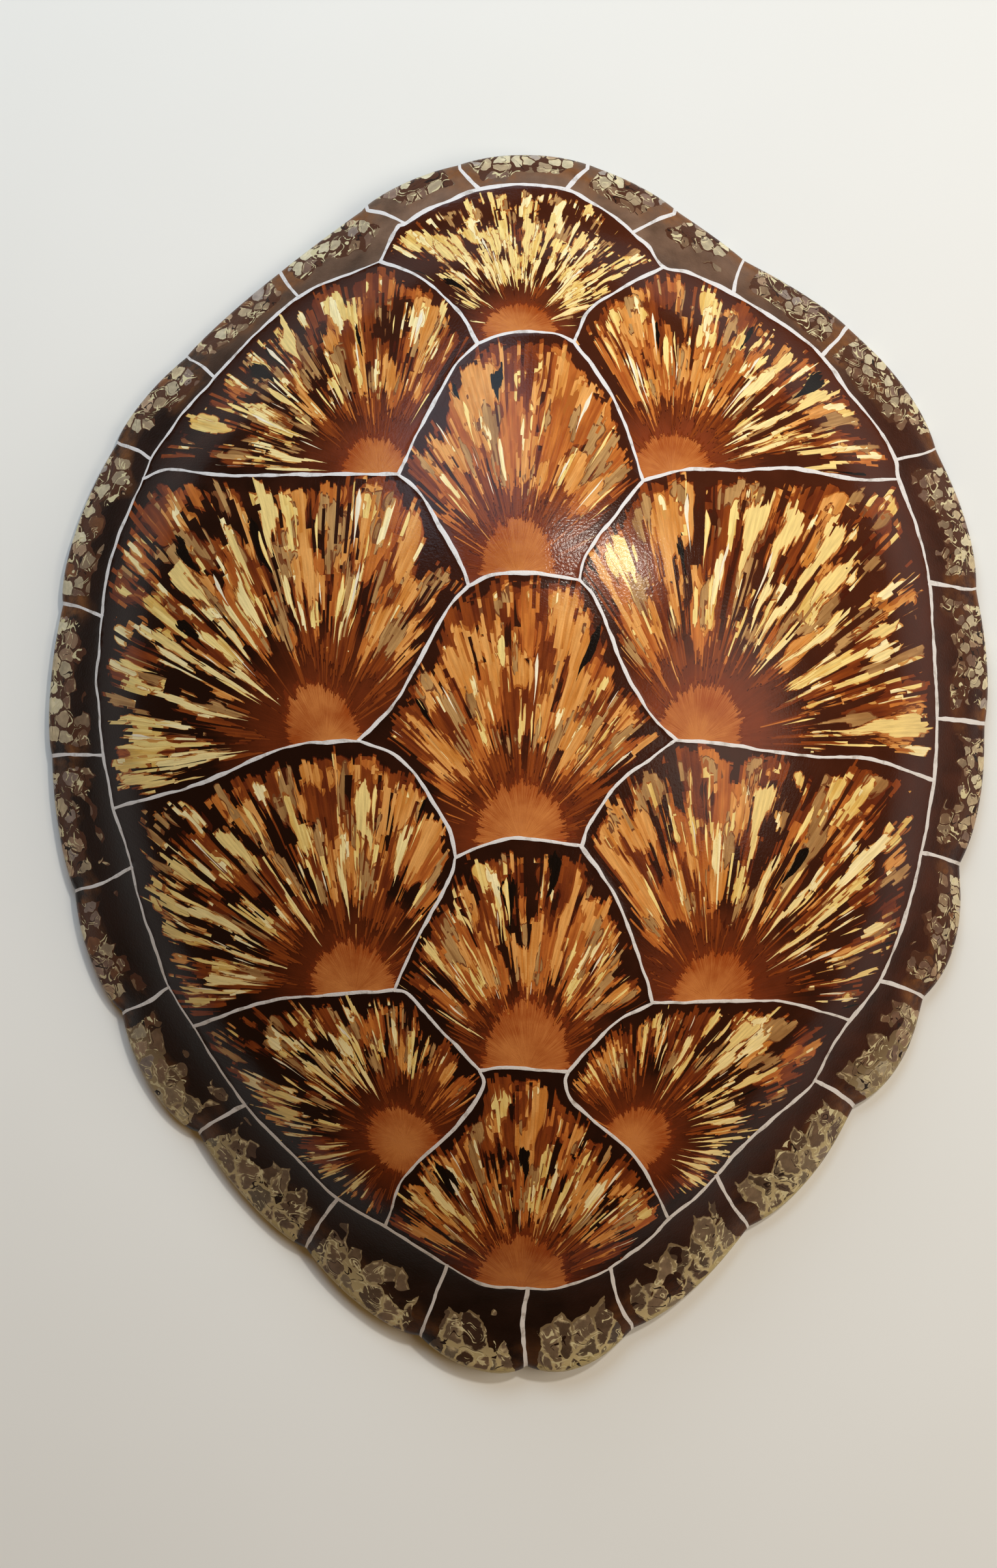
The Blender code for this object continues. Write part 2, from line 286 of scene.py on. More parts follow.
class Dome:
    """The dome's surface as heights over the plan, the same as the solid's but smooth."""

    STEPS_ON_PLATE = 36
    SMOOTHING_ANGLE = math.radians(13)
    ROUNDS = 8
    SCALLOP_START = 0.7
    SCALLOP_REACH = 0.3
    THICKENING_START = 0.6
    THICKENING_REACH = 0.33
    SPINE_END = 0.8
    SPINE_FADE = 0.2
    RIM_BLEND = 0.014
    PROBE = 0.001
    RIB_PAIRS = 8
    FIRST_RIB_Y = 0.19
    RIB_SPACING = 0.052
    RIB_LEAN = 1.4
    RIB_HALF_WIDTH = 0.0085
    RIB_HEIGHT = 0.0016
    RIB_END = 0.82
    RIB_FADE = 0.14
    RIB_HEAD = 0.012

    def __init__(self, height):
        self.height = height
        self.edge, self.middle = outline(self.STEPS_ON_PLATE)
        spokes = self.edge - (0, SUMMIT_Y)
        self.reach = np.hypot(spokes[:, 0], spokes[:, 1])
        self.angle = np.arctan2(spokes[:, 1], spokes[:, 0])
        gap = (self.angle[:, None] - self.angle[None, :] + math.pi) % TURN - math.pi
        weight = np.exp(-((gap / self.SMOOTHING_ANGLE) ** 2))
        self.even_reach = weight @ self.reach / weight.sum(axis=1)
        around = np.hypot(*(np.roll(self.edge, -1, axis=0) - self.edge).T)
        self.arc = np.cumsum(around) - around

    def polar(self, flat):
        """Each plan point's distance from the summit, its angle, and the outline's reach that way."""
        spoke = flat - (0, SUMMIT_Y)
        angle = np.arctan2(spoke[:, 1], spoke[:, 0])
        reach = np.interp(angle, self.angle, self.reach, period=TURN)
        return np.hypot(spoke[:, 0], spoke[:, 1]), angle, reach

    def out(self, flat):
        """How far out each plan point is: 0 at the summit, 1 where the rounded rim begins."""
        far, angle, reach = self.polar(flat)
        even = np.interp(angle, self.angle, self.even_reach, period=TURN)
        out = far / even
        for _ in range(self.ROUNDS):
            scallop = np.clip((out - self.SCALLOP_START) / self.SCALLOP_REACH, 0, 1) ** 2
            out = far / (even + (reach - even) * scallop - EDGE_INSET)
        return out

    @staticmethod
    def lift(angle):
        """How far the rim is raised over the neck and the tail."""
        lift = np.zeros(len(angle))
        for middle, height in ((math.pi / 2, NECK_LIFT), (-math.pi / 2, TAIL_LIFT)):
            off = np.abs((angle - middle + math.pi) % TURN - math.pi)
            inside = off < LIFT_HALF_ANGLE
            lift[inside] += height * np.cos(off[inside] / LIFT_HALF_ANGLE * math.pi / 2) ** 2
        return lift

    def top(self, flat):
        out = self.out(flat)
        keel = KEEL_HEIGHT * np.exp(-((flat[:, 0] / KEEL_HALF_WIDTH) ** 2)) * (1 - out**2)
        flare = np.clip((out - FLARE_START) / (1 - FLARE_START), 0, 1)
        height = EDGE_HEIGHT + (self.height - EDGE_HEIGHT - KEEL_HEIGHT) * (1 - out**DOME_POWER) + keel
        return height - FLARE_DEPTH * np.sin(math.pi * flare) ** 2 + self.lift(self.polar(flat)[1]) * out**6

    def slope(self, flat, probe):
        return (self.top(flat + probe) - self.top(flat - probe)) / (2 * self.PROBE)

    def under(self, flat):
        """The underside: the wall's thickness below the top, with the spine and the ribs in relief."""
        top = self.top(flat)
        out = self.out(flat)
        slope_x, slope_y = self.slope(flat, (self.PROBE, 0)), self.slope(flat, (0, self.PROBE))
        thickening = np.clip((out - self.THICKENING_START) / self.THICKENING_REACH, 0, 1)
        wall = WALL + (RIM_WALL - WALL) * thickening**2
        spine = SPINE_HEIGHT * np.exp(-((flat[:, 0] / SPINE_HALF_WIDTH) ** 2))
        spine = spine * np.clip((self.SPINE_END - out) / self.SPINE_FADE, 0, 1)
        height = top - (wall + spine + self.ribs(flat, out)) * np.sqrt(1 + slope_x**2 + slope_y**2)
        far, angle, reach = self.polar(flat)
        inset, foot = RIM_SECTION[-1]
        share = np.clip((reach - far - inset) / self.RIM_BLEND, 0, 1)
        share = share * share * (3 - 2 * share)
        return (foot + self.lift(angle)) * (1 - share) + height * share

    def ribs(self, flat, out):
        """Eight pairs of flat ribs, fused to the wall, that lean away from the middle pair."""
        relief = np.zeros(len(flat))
        side = np.abs(flat[:, 0])
        for rib in range(self.RIB_PAIRS):
            root = self.FIRST_RIB_Y - self.RIB_SPACING * rib
            across = flat[:, 1] - root * (1 + self.RIB_LEAN * side)
            relief += np.exp(-((across / self.RIB_HALF_WIDTH) ** 2))
        fading = np.clip((self.RIB_END - out) / self.RIB_FADE, 0, 1)
        return self.RIB_HEIGHT * relief * fading * np.clip(side / self.RIB_HEAD, 0, 1)


def seen_to_plan(dome, studio, points):
    """Places that the camera sees, in mm at the rim's scale, as plan points on the dome, in metres."""
    aim = np.array(studio.aim)
    seen = np.array(points, float) / 1000 - dome.middle
    flat = seen.copy()
    for _ in range(dome.ROUNDS):
        nearer = (studio.camera_height - dome.top(flat)) / (studio.camera_height - RIM_LEVEL)
        flat = aim + (seen - aim) * nearer[:, None]
    return flat


# Painted seams

CURVE_STEPS = 12


def smooth_line(points, spacing):
    """Evenly spaced points on a smooth curve through the given ones."""
    points = np.array(points)
    padded = np.vstack((2 * points[0] - points[1], points, 2 * points[-1] - points[-2]))
    step = np.linspace(0, 1, CURVE_STEPS, endpoint=False)[:, None]
    curve = []
    for a, b, c, d in zip(padded[:-3], padded[1:-2], padded[2:-1], padded[3:]):
        bend = (2 * a - 5 * b + 4 * c - d) * step**2 + (3 * b - a - 3 * c + d) * step**3
        curve.append(0.5 * (2 * b + (c - a) * step + bend))
    curve = np.vstack(curve + [points[-1:]])
    along = np.concatenate(([0], np.cumsum(np.hypot(*np.diff(curve, axis=0).T))))
    places = np.linspace(0, along[-1], max(int(along[-1] / spacing), 4))
    return np.column_stack([np.interp(places, along, curve[:, axis]) for axis in (0, 1)])


def wavering(random, count, reach):
    """Smooth random numbers, about -1 to 1, that keep alike over a few neighbours."""
    window = np.hanning(reach + 2)[1:-1]
    raw = random.normal(size=count + reach - 1)
    return np.convolve(raw, window / np.sqrt((window**2).sum()), "valid")[:count] * 0.6


class Band:
    """One painted seam line: its middle points and how wide the brush left it at each."""

    SPACING = 0.0011
    WANDER = 0.00022
    SWELL = 0.28
    BRISTLES = 0.14
    NARROWEST = 0.55
    BROADEST = 1.5
    OVERRUN = 0.4

    def __init__(self, points, width, random):
        line = smooth_line(points, self.SPACING)
        ahead = np.gradient(line, axis=0)
        ahead /= np.hypot(*ahead.T)[:, None]
        self.across = np.column_stack((-ahead[:, 1], ahead[:, 0]))
        count = len(line)
        self.middle = line + self.across * (wavering(random, count, 9) * self.WANDER)[:, None]
        broad = 1 + self.SWELL * wavering(random, count, 14) + self.BRISTLES * wavering(random, count, 3)
        self.half = width / 2 * np.clip(broad, self.NARROWEST, self.BROADEST)
        self.middle[0] -= ahead[0] * width * self.OVERRUN
        self.middle[-1] += ahead[-1] * width * self.OVERRUN

    def polygon(self):
        side = self.across * self.half[:, None]
        return np.vstack((self.middle - side, (self.middle + side)[::-1]))


# How full the brush was on each line, as a share of the usual width
RING_RIGHT = 1.3
RING_LEFT = 0.95
BETWEEN_SCUTES = 1.05
RIM_RIGHT = 1.35
RIM_LEFT = 1.15
RIM_TAIL = 1.55


def seam_bands(dome, studio, sizes, random):
    """All the painted lines. The brush was fuller on the right side and along the back."""
    usual = sizes.seam_width
    ring = seen_to_plan(dome, studio, RING + RING[:1])
    half = len(ring) // 2
    bands = [Band(ring[: half + 1], usual * RING_RIGHT, random), Band(ring[half:], usual * RING_LEFT, random)]
    for points in SEAMS.values():
        bands.append(Band(seen_to_plan(dome, studio, points), usual * BETWEEN_SCUTES, random))
    for rim, ends, share in ((RIGHT_RIM, RIGHT_ENDS, RIM_RIGHT), (LEFT_RIM, LEFT_ENDS, RIM_LEFT)):
        for seam, end in zip(rim, ends):
            bands.append(rim_band(dome, studio, RING[end], seam[:2], usual * share, random))
    bands.append(rim_band(dome, studio, RING[TAIL_END], TAIL_SEAM, usual * RIM_TAIL, random))
    return bands


RIM_OVERRUN = 0.003
RIM_BOW = 0.06


def rim_band(dome, studio, end, notch, width, random):
    inner = seen_to_plan(dome, studio, [end])[0]
    outer = np.array(notch) / 1000 - dome.middle
    past = outer + (outer - inner) / np.hypot(*(outer - inner)) * RIM_OVERRUN
    bow = np.array((inner[1] - outer[1], outer[0] - inner[0])) * random.uniform(-RIM_BOW, RIM_BOW)
    return Band(np.array((inner, (inner + outer) / 2 + bow, past)), width, random)


# Mesh of the carapace, with its distances in metres

HALF_WIDTH = 0.23
HALF_LENGTH = 0.29
SAME_POINT = 1e-6
CLEAR_OF_PAINT = 0.0006
CLEAR_OF_EDGE = 0.0012
WAVER_HEIGHT = 0.00035
WAVERS_PER_METRE = 26
WAVER_FADE = 8


def tree_of(points):
    """A search tree of plan points."""
    tree = KDTree(len(points))
    for place, point in enumerate(points):
        tree.insert((point[0], point[1], 0), place)
    tree.balance()
    return tree


def nearest_in(tree, flat):
    """The number of the tree's point nearest to each plan point, and how far off it is."""
    found = [tree.find((x, y, 0)) for x, y in flat]
    return np.array([hit[1] for hit in found]), np.array([hit[2] for hit in found])


class Seams:
    """Finds the nearest painted line to a point, and how wide it is there."""

    def __init__(self, bands):
        self.halves = np.concatenate([band.half for band in bands])
        self.tree = tree_of(np.vstack([band.middle for band in bands]))

    def nearest(self, flat):
        number, far = nearest_in(self.tree, flat)
        return far, self.halves[number]


def grid_inside(dome, spacing, margin):
    """Points of a triangular grid over the plan, up to a margin inside the rim."""
    rows = []
    for row, y in enumerate(np.arange(-HALF_LENGTH, HALF_LENGTH, spacing * math.sqrt(3) / 2)):
        x = np.arange(-HALF_WIDTH, HALF_WIDTH, spacing) + (row % 2) * spacing / 2
        rows.append(np.column_stack((x, np.full(len(x), y))))
    flat = np.vstack(rows)
    far, _, reach = dome.polar(flat)
    return flat[far < reach - margin]


def triangulate(border, bands, loose):
    """Plan points, triangles inside the border, and whether each triangle is on a painted line."""
    points, faces = [], []
    for polygon in [border] + [band.polygon() for band in bands]:
        faces.append(list(range(len(points), len(points) + len(polygon))))
        points += [Vector(point) for point in polygon]
    points += [Vector(point) for point in loose]
    flat, _, triangles, _, _, owners = delaunay_2d_cdt(points, [], faces, 0, 1e-7)
    inside = [place for place, owner in enumerate(owners) if 0 in owner]
    painted = np.array([len(owners[place]) > 1 for place in inside])
    triangles = np.array([triangles[place] for place in inside])
    used, triangles = np.unique(triangles, return_inverse=True)
    return np.array([flat[place][:] for place in used]), triangles.reshape(-1, 3), painted


def edges_of(corners):
    """A triangle's three edges, each as its two points in order."""
    return [tuple(sorted((corners[a], corners[b]))) for a, b in ((0, 1), (1, 2), (2, 0))]


def regions_of(triangles, painted):
    """A number for each triangle, the same for those joined without crossing a painted line."""
    edges = {}
    neighbours = [[] for _ in triangles]
    for place, corners in enumerate(triangles):
        if painted[place]:
            continue
        for edge in edges_of(corners):
            other = edges.setdefault(edge, place)
            if other != place:
                neighbours[place].append(other)
                neighbours[other].append(place)
    region = np.full(len(triangles), -1)
    count = 0
    for seed in range(len(triangles)):
        if painted[seed] or region[seed] >= 0:
            continue
        stack, region[seed] = [seed], count
        while stack:
            for other in neighbours[stack.pop()]:
                if region[other] < 0:
                    region[other] = count
                    stack.append(other)
        count += 1
    return region


def border_loop(triangles, flat):
    """The outer edge's points in order round the summit, and the triangle at each edge."""
    edges = {}
    for place, corners in enumerate(triangles):
        for edge in edges_of(corners):
            edges[edge] = None if edge in edges else place
    open_edges = {edge: place for edge, place in edges.items() if place is not None}
    points = np.unique(list(open_edges))
    order = points[np.argsort(np.arctan2(flat[points, 1] - SUMMIT_Y, flat[points, 0]))]
    owners = [open_edges[tuple(sorted(pair))] for pair in zip(order, np.roll(order, -1))]
    return order, np.array(owners)


class Builder:
    """Gathers the mesh's points, triangles and what the materials read from them."""

    HORN, RIM, PAINT, BONE = range(4)

    def __init__(self):
        self.points, self.triangles, self.materials, self.regions = [], [], [], []
        self.count = 0

    def add_points(self, points):
        self.points.append(points)
        self.count += len(points)
        return np.arange(self.count - len(points), self.count)

    def add_triangles(self, triangles, materials, regions):
        self.triangles.append(triangles)
        self.materials.append(np.broadcast_to(materials, len(triangles)))
        self.regions.append(np.broadcast_to(regions, len(triangles)))

    def bridge(self, upper, lower, materials, regions):
        after_upper, after_lower = np.roll(upper, -1), np.roll(lower, -1)
        self.add_triangles(np.column_stack((upper, lower, after_lower)), materials, regions)
        self.add_triangles(np.column_stack((upper, after_lower, after_upper)), materials, regions)

    def joined(self):
        gathered = (self.points, self.triangles, self.materials, self.regions)
        return [np.concatenate(parts) for parts in gathered]


def rim_curve():
    """The rim's section as a smooth curve down to the sole, then the sole and the step inside it."""
    round_part = smooth_line(RIM_SECTION[:5], Band.SPACING)
    return list(round_part[1:]) + list(RIM_SECTION[5:])


def carapace_parts(dome, studio, sizes):
    """Everything the mesh needs, as arrays."""
    random = np.random.default_rng(sizes.seed)
    bands = seam_bands(dome, studio, sizes, random)
    seams = Seams(bands)
    far = dome.reach - EDGE_INSET
    border = np.column_stack((np.cos(dome.angle), np.sin(dome.angle))) * far[:, None] + (0, SUMMIT_Y)
    loose = grid_inside(dome, sizes.top_grid, EDGE_INSET + CLEAR_OF_EDGE)
    gap, half = seams.nearest(loose)
    loose = loose[gap > half + CLEAR_OF_PAINT]
    middles = np.vstack([band.middle[1:-1] for band in bands])
    far, _, reach = dome.polar(middles)
    middles = middles[far < reach - EDGE_INSET - 0.001]
    flat, triangles, painted = triangulate(border[::-1], bands, np.vstack((loose, middles)))
    regions = regions_of(triangles, painted)
    gap, half = seams.nearest(flat)
    body = sizes.seam_body * np.clip(1 - (gap / half) ** 2, 0, 1)
    places = np.column_stack((flat * WAVERS_PER_METRE, np.full(len(flat), 0.5)))
    waver = np.array([noise.noise(place) for place in places]) * WAVER_HEIGHT
    height = dome.top(flat) + body + waver * np.clip((1 - dome.out(flat)) * WAVER_FADE, 0, 1)
    builder = Builder()
    builder.add_points(np.column_stack((flat, np.minimum(height, dome.height))))
    names, kinds = name_regions(dome, studio, flat, triangles, regions)
    materials = np.where(painted, Builder.PAINT, kinds[regions])
    builder.add_triangles(triangles, materials, regions)
    loop, owners = border_loop(triangles, flat)
    add_rim_and_hollow(builder, dome, sizes, flat[loop], loop, materials[owners], regions[owners])
    return builder.joined(), names, seams


# How far into its scute a growth centre's test point lies, in mm
JUST_INSIDE = 9


def name_regions(dome, studio, flat, triangles, regions):
    """Which scute each region is, by the growth centre just inside it, and its material."""
    middles = flat[triangles].mean(axis=1)
    names = {}
    for name, (centre, way, *_) in GROWTH.items():
        way = math.radians(way)
        inside = np.array(centre) + JUST_INSIDE * np.array((math.cos(way), math.sin(way)))
        place = seen_to_plan(dome, studio, [inside])[0]
        off = np.hypot(*(middles - place).T)
        off[regions < 0] = 1
        names[int(regions[off.argmin()])] = name
    kinds = np.full(regions.max() + 2, Builder.RIM)
    for region in names:
        kinds[region] = Builder.HORN
    return names, kinds


def add_rim_and_hollow(builder, dome, sizes, edge, loop, materials, regions):
    """Bridges down the rim's section from the dome's edge, and closes the underside."""
    _, angle, reach = dome.polar(edge)
    ways = np.column_stack((np.cos(angle), np.sin(angle)))
    lift = dome.lift(angle)
    upper = loop
    section = rim_curve()
    for place, (inset, height) in enumerate(section):
        flat = ways * (reach - inset)[:, None] + (0, SUMMIT_Y)
        lower = builder.add_points(np.column_stack((flat, height + lift)))
        inside = place >= len(section) - 2
        builder.bridge(upper, lower, Builder.BONE if inside else materials, -2 if inside else regions)
        upper = lower
    loose = grid_inside(dome, sizes.hollow_grid, RIM_SECTION[-1][0] + 0.002)
    under, triangles, _ = triangulate(flat, [], loose)
    height = dome.under(under)
    number, far = nearest_in(tree_of(flat), under)
    on_edge = far < SAME_POINT
    numbers = np.empty(len(under), int)
    numbers[on_edge] = upper[number[on_edge]]
    numbers[~on_edge] = builder.add_points(np.column_stack((under, height))[~on_edge])
    builder.add_triangles(numbers[triangles][:, ::-1], Builder.BONE, -2)


# The areola map's value away from every areola, and how many patterns the unnamed regions share
NO_AREOLA = 9.0
PATTERNS = 29


def growth_maps(dome, studio, seams, points, triangles, regions, names):
    """What the materials read at each triangle's corners."""
    corners = points[triangles.reshape(-1)]
    flat = corners[:, :2]
    owner = np.repeat(regions, 3)
    far, angle, reach = dome.polar(flat)
    arc = np.interp(angle, dome.angle, dome.arc, period=TURN)
    first, second = arc, reach - far
    areola = np.full(len(flat), NO_AREOLA)
    cream = np.zeros(len(flat))
    cells = np.ones(len(flat))
    gap = seams.nearest(points[:, :2])[0][triangles.reshape(-1)]
    seed = (owner % PATTERNS).astype(float)
    for region in np.unique(owner):
        here = owner == region
        if region not in names:
            cells[here] = cells_per_mm(*flat[here].mean(axis=0))
            continue
        centre, way, half_width, half_height, scale, nearness = GROWTH[names[region]]
        off = flat[here] - seen_to_plan(dome, studio, [centre])[0]
        turn = (np.arctan2(off[:, 1], off[:, 0]) - math.radians(way) + math.pi) % TURN - math.pi
        radius = np.hypot(*off.T)
        first[here], second[here] = turn, radius / scale
        gap[here] *= nearness
        size = 1 / np.hypot(np.sin(turn) / half_width, np.cos(turn) / half_height) / 1000
        areola[here] = radius / size
        seed[here] = 3 + 2 * list(GROWTH).index(names[region])
        cream[here] = cream_share(names[region], turn + math.radians(way))
    return {
        "growth": (first, second), "areola": areola, "cream": cream, "scute": seed, "rim_cells": cells,
        "seam_gap": gap,
    }


def cells_per_mm(x, y):
    """How fine a rim plate's marbling is, by its middle: finest on the right, coarse at the tail."""
    side = np.interp(x, (-0.2, 0.2), (0.12, 0.17))
    return np.interp(y, (-0.2, -0.08), (0.105, side))


def cream_share(name, way):
    """How much of a fan is cream strokes on dark horn: most at the flanks, least along the back."""
    if name == "v1":
        return np.full(len(way), 1.25)
    if name.startswith("v"):
        return np.full(len(way), 0.35 if name in ("v4", "v5") else 0.16)
    outward = np.cos(way) * (-1 if name.startswith("l") else 1)
    return np.clip(0.42 + 0.55 * outward, 0.08, 0.85)


def carapace_mesh(name, dome, studio, sizes):
    (points, triangles, materials, regions), names, seams = carapace_parts(dome, studio, sizes)
    mesh = bpy.data.meshes.new(name)
    mesh.from_pydata(points.tolist(), [], triangles.tolist())
    mesh.polygons.foreach_set("material_index", materials.astype(np.int32))
    maps = growth_maps(dome, studio, seams, points, triangles, regions, names)
    layer = mesh.uv_layers.new(name="growth")
    layer.data.foreach_set("uv", np.column_stack(maps.pop("growth")).ravel().astype(np.float32))
    for title, values in maps.items():
        attribute = mesh.attributes.new(title, "FLOAT", "CORNER")
        attribute.data.foreach_set("value", values.astype(np.float32))
    mesh.update()
    return mesh


# Materials


def put(tree, kind, *inputs, **settings):
    """Adds a node with its settings and links: "Math ADD" is a Math node whose operation is ADD.

    Inputs go by place, or by name as one dict.
    """
    kind, _, operation = kind.partition(" ")
    node = tree.nodes.new(kind if kind.startswith("Node") else "ShaderNode" + kind)
    if operation:
        node.operation = operation
    for name, setting in settings.items():
        setattr(node, name, setting)
    feed(node, inputs[0] if inputs and isinstance(inputs[0], dict) else dict(enumerate(inputs)))
    return node


def feed(node, inputs):
    """Gives a node's inputs, by place or by name: a number, a colour code, or a node or socket to link."""
    for key, value in inputs.items():
        if isinstance(value, str):
            value = srgb(value)
        if isinstance(value, bpy.types.Node):
            value = value.outputs[0]
        if isinstance(value, bpy.types.NodeSocket):
            node.id_data.links.new(value, node.inputs[key])
        else:
            node.inputs[key].default_value = value


def new_material(name):
    """A material, the function that adds nodes to it, and the Principled shader on its output."""
    material = bpy.data.materials.new(name)
    material.use_nodes = True
    material.node_tree.nodes.clear()
    add = partial(put, material.node_tree)
    shader = add("BsdfPrincipled")
    add("OutputMaterial", shader)
    return material, add, shader


def new_group(name, inputs, outputs):
    """A node group of float sockets, the function that adds nodes to it, and its inputs by name."""
    group = bpy.data.node_groups.new(name, "ShaderNodeTree")
    for side, titles in (("INPUT", inputs), ("OUTPUT", outputs)):
        for title in titles:
            group.interface.new_socket(name=title, in_out=side, socket_type="NodeSocketFloat")
    add = partial(put, group)
    return group, add, add("NodeGroupInput").outputs


def hair_group():
    """Random steps, -0.5 to 0.5, along narrow rays broken into lengths, as brush hairs leave them."""
    inputs = ("Angle", "Radius", "Wobble", "Seed", "Density", "Length")
    group, add, given = new_group("brush_hairs", inputs, ("Step",))
    spread = add("Math MULTIPLY_ADD", given["Angle"], given["Density"], given["Seed"])
    lane = add("Math MULTIPLY_ADD", given["Wobble"], 2.0, spread)
    number = add("Math FLOOR", lane)
    lane_place = add("CombineXYZ", number, given["Seed"])
    shift = add("TexWhiteNoise", lane_place, noise_dimensions="2D")
    lengths = add("Math DIVIDE", given["Radius"], given["Length"])
    along = add("Math MULTIPLY_ADD", shift, 7.0, lengths)
    piece = add("Math FLOOR", along)
    piece_place = add("CombineXYZ", number, piece, given["Seed"])
    draw = add("TexWhiteNoise", piece_place, noise_dimensions="3D")
    step = add("Math SUBTRACT", draw, 0.5)
    add("NodeGroupOutput", step)
    return group


PATCH_INPUTS = ("Angle", "Radius", "Gap", "Seed", "Hair", "Across", "Along", "Threshold", "Start", "End")


def patch_group():
    """Torn patches of paint, long along the rays, that thin out near the growth centre and near the seams.

    Across is patches per radian and Along their length in mm. Hair breaks their edges into steps, most of
    all towards their ends. Threshold sets how much is covered: about half at 0.5 and a tenth at 0.65. Halo
    is the mask with a thin rim around it.
    """
    group, add, given = new_group("torn_patches", PATCH_INPUTS, ("Mask", "Halo"))
    spread = add("Math MULTIPLY", given["Angle"], given["Across"])
    slow = add("Math DIVIDE", given["Radius"], given["Along"])
    place = add("CombineXYZ", spread, slow, given["Seed"])
    patch = add("TexNoise", {"Vector": place, "Scale": 1.0, "Detail": 2.0, "Roughness": 0.4})
    early = add("Math SUBTRACT", given["Start"], given["Radius"])
    early = add("Math DIVIDE", early, 30.0, use_clamp=True)
    late = add("Math SUBTRACT", given["End"], given["Gap"])
    late = add("Math DIVIDE", late, given["End"], use_clamp=True)
    late = add("Math MULTIPLY", late, late)
    ends = add("Math ADD", early, late)
    tear = add("Math MULTIPLY_ADD", ends, 0.4, 0.13)
    torn = add("Math MULTIPLY_ADD", given["Hair"], tear, patch)
    torn = add("Math MULTIPLY_ADD", ends, -0.6, torn)
    mask = add("Math GREATER_THAN", torn, given["Threshold"])
    wider = add("Math ADD", torn, 0.022)
    halo = add("Math GREATER_THAN", wider, given["Threshold"])
    add("NodeGroupOutput", mask, halo)
    return group


# Layers of torn patches, from the first laid down to the last. The threshold is the third number plus the
# fourth times the cream map. Name, across, along, threshold, cream's part, start, end, steps, rim and two
# colours
PATCH_LAYERS = (
    ("rust", 6, 36, 0.36, 0.22, 38, 12, 1.2, "#44190c", "#622812", "#884018"),
    ("amber", 5, 46, 0.435, 0.27, 46, 13, 1.0, "#7a3616", "#a05020", "#c27231"),
    ("light_amber", 7, 38, 0.49, 0.18, 50, 14, 1.0, "#a35b24", "#c47b34", "#dc9c56"),
    ("khaki", 9, 30, 0.63, -0.02, 50, 13, 1.0, "#744426", "#94693d", "#b58a56"),
    ("cream", 8, 30, 0.7, -0.085, 52, 13, 1.0, "#9a5626", "#d8ab57", "#ecd084"),
    ("bright_cream", 12, 28, 0.73, -0.085, 52, 14, 1.0, "#c58c48", "#eed695", "#f4e2ae"),
)


STROKE_INPUTS = (
    "Angle", "Radius", "Gap", "Wobble", "Ragged", "Hair", "Seed", "Density", "Presence", "Width", "Start",
    "Spread", "End", "Length", "Tear",
)


def stroke_group():
    """Single strokes, each alone in its lane: pointed at the inner end, broader and frayed at the outer one.

    Density is lanes per radian and Width half the stroke's share of its lane. A stroke starts up to Spread
    mm beyond Start, is Length to twice Length long, and stops 0.4 to 1.4 times End short of a seam. Tear is
    how far its ends are frayed. Core is its inner part, and Halo the stroke with a thin rim.
    """
    group, add, given = new_group("single_strokes", STROKE_INPUTS, ("Mask", "Core", "Halo"))
    angle, radius, seed = given["Angle"], given["Radius"], given["Seed"]
    spread = add("Math MULTIPLY_ADD", angle, given["Density"], seed)
    lane = add("Math MULTIPLY_ADD", given["Wobble"], 1.5, spread)
    number = add("Math FLOOR", lane)
    within = add("Math SUBTRACT", lane, number)
    across = add("Math SUBTRACT", within, 0.5)
    off_middle = add("Math ABSOLUTE", across)
    draw_place = add("CombineXYZ", number, seed)
    draws = add("TexWhiteNoise", draw_place, noise_dimensions="2D")
    draw = add("SeparateColor", draws.outputs["Color"]).outputs
    fray = add("Math MULTIPLY", given["Hair"], given["Tear"])

    start = add("Math MULTIPLY_ADD", given["Spread"], draw[1], given["Start"])
    beyond = add("Math SUBTRACT", radius, start)
    grown = add("Math ADD", fray, beyond)
    grown = add("Math DIVIDE", grown, 22.0, use_clamp=True)
    length = add("Math MULTIPLY_ADD", draw[2], given["Length"], given["Length"])
    left = add("Math SUBTRACT", length, beyond)
    stop = add("Math ADD", draw[1], 0.4)
    stop = add("Math MULTIPLY", stop, given["End"])
    room = add("Math SUBTRACT", given["Gap"], stop)
    left = add("Math MINIMUM", left, room)
    left = add("Math ADD", left, fray)
    closing = add("Math DIVIDE", left, 6.0, use_clamp=True)

    there = add("Math LESS_THAN", draw[0], given["Presence"])
    half = add("Math MULTIPLY", there, given["Width"])
    half = add("Math MULTIPLY", half, grown)
    half = add("Math MULTIPLY", half, closing)
    half = add("Math MULTIPLY_ADD", given["Ragged"], half, half)
    mask = add("Math GREATER_THAN", half, off_middle)
    inner = add("Math MULTIPLY", half, 0.8)
    core = add("Math GREATER_THAN", inner, off_middle)
    wider = add("Math MULTIPLY", half, 1.16)
    halo = add("Math GREATER_THAN", wider, off_middle)
    add("NodeGroupOutput", mask, core, halo)
    return group


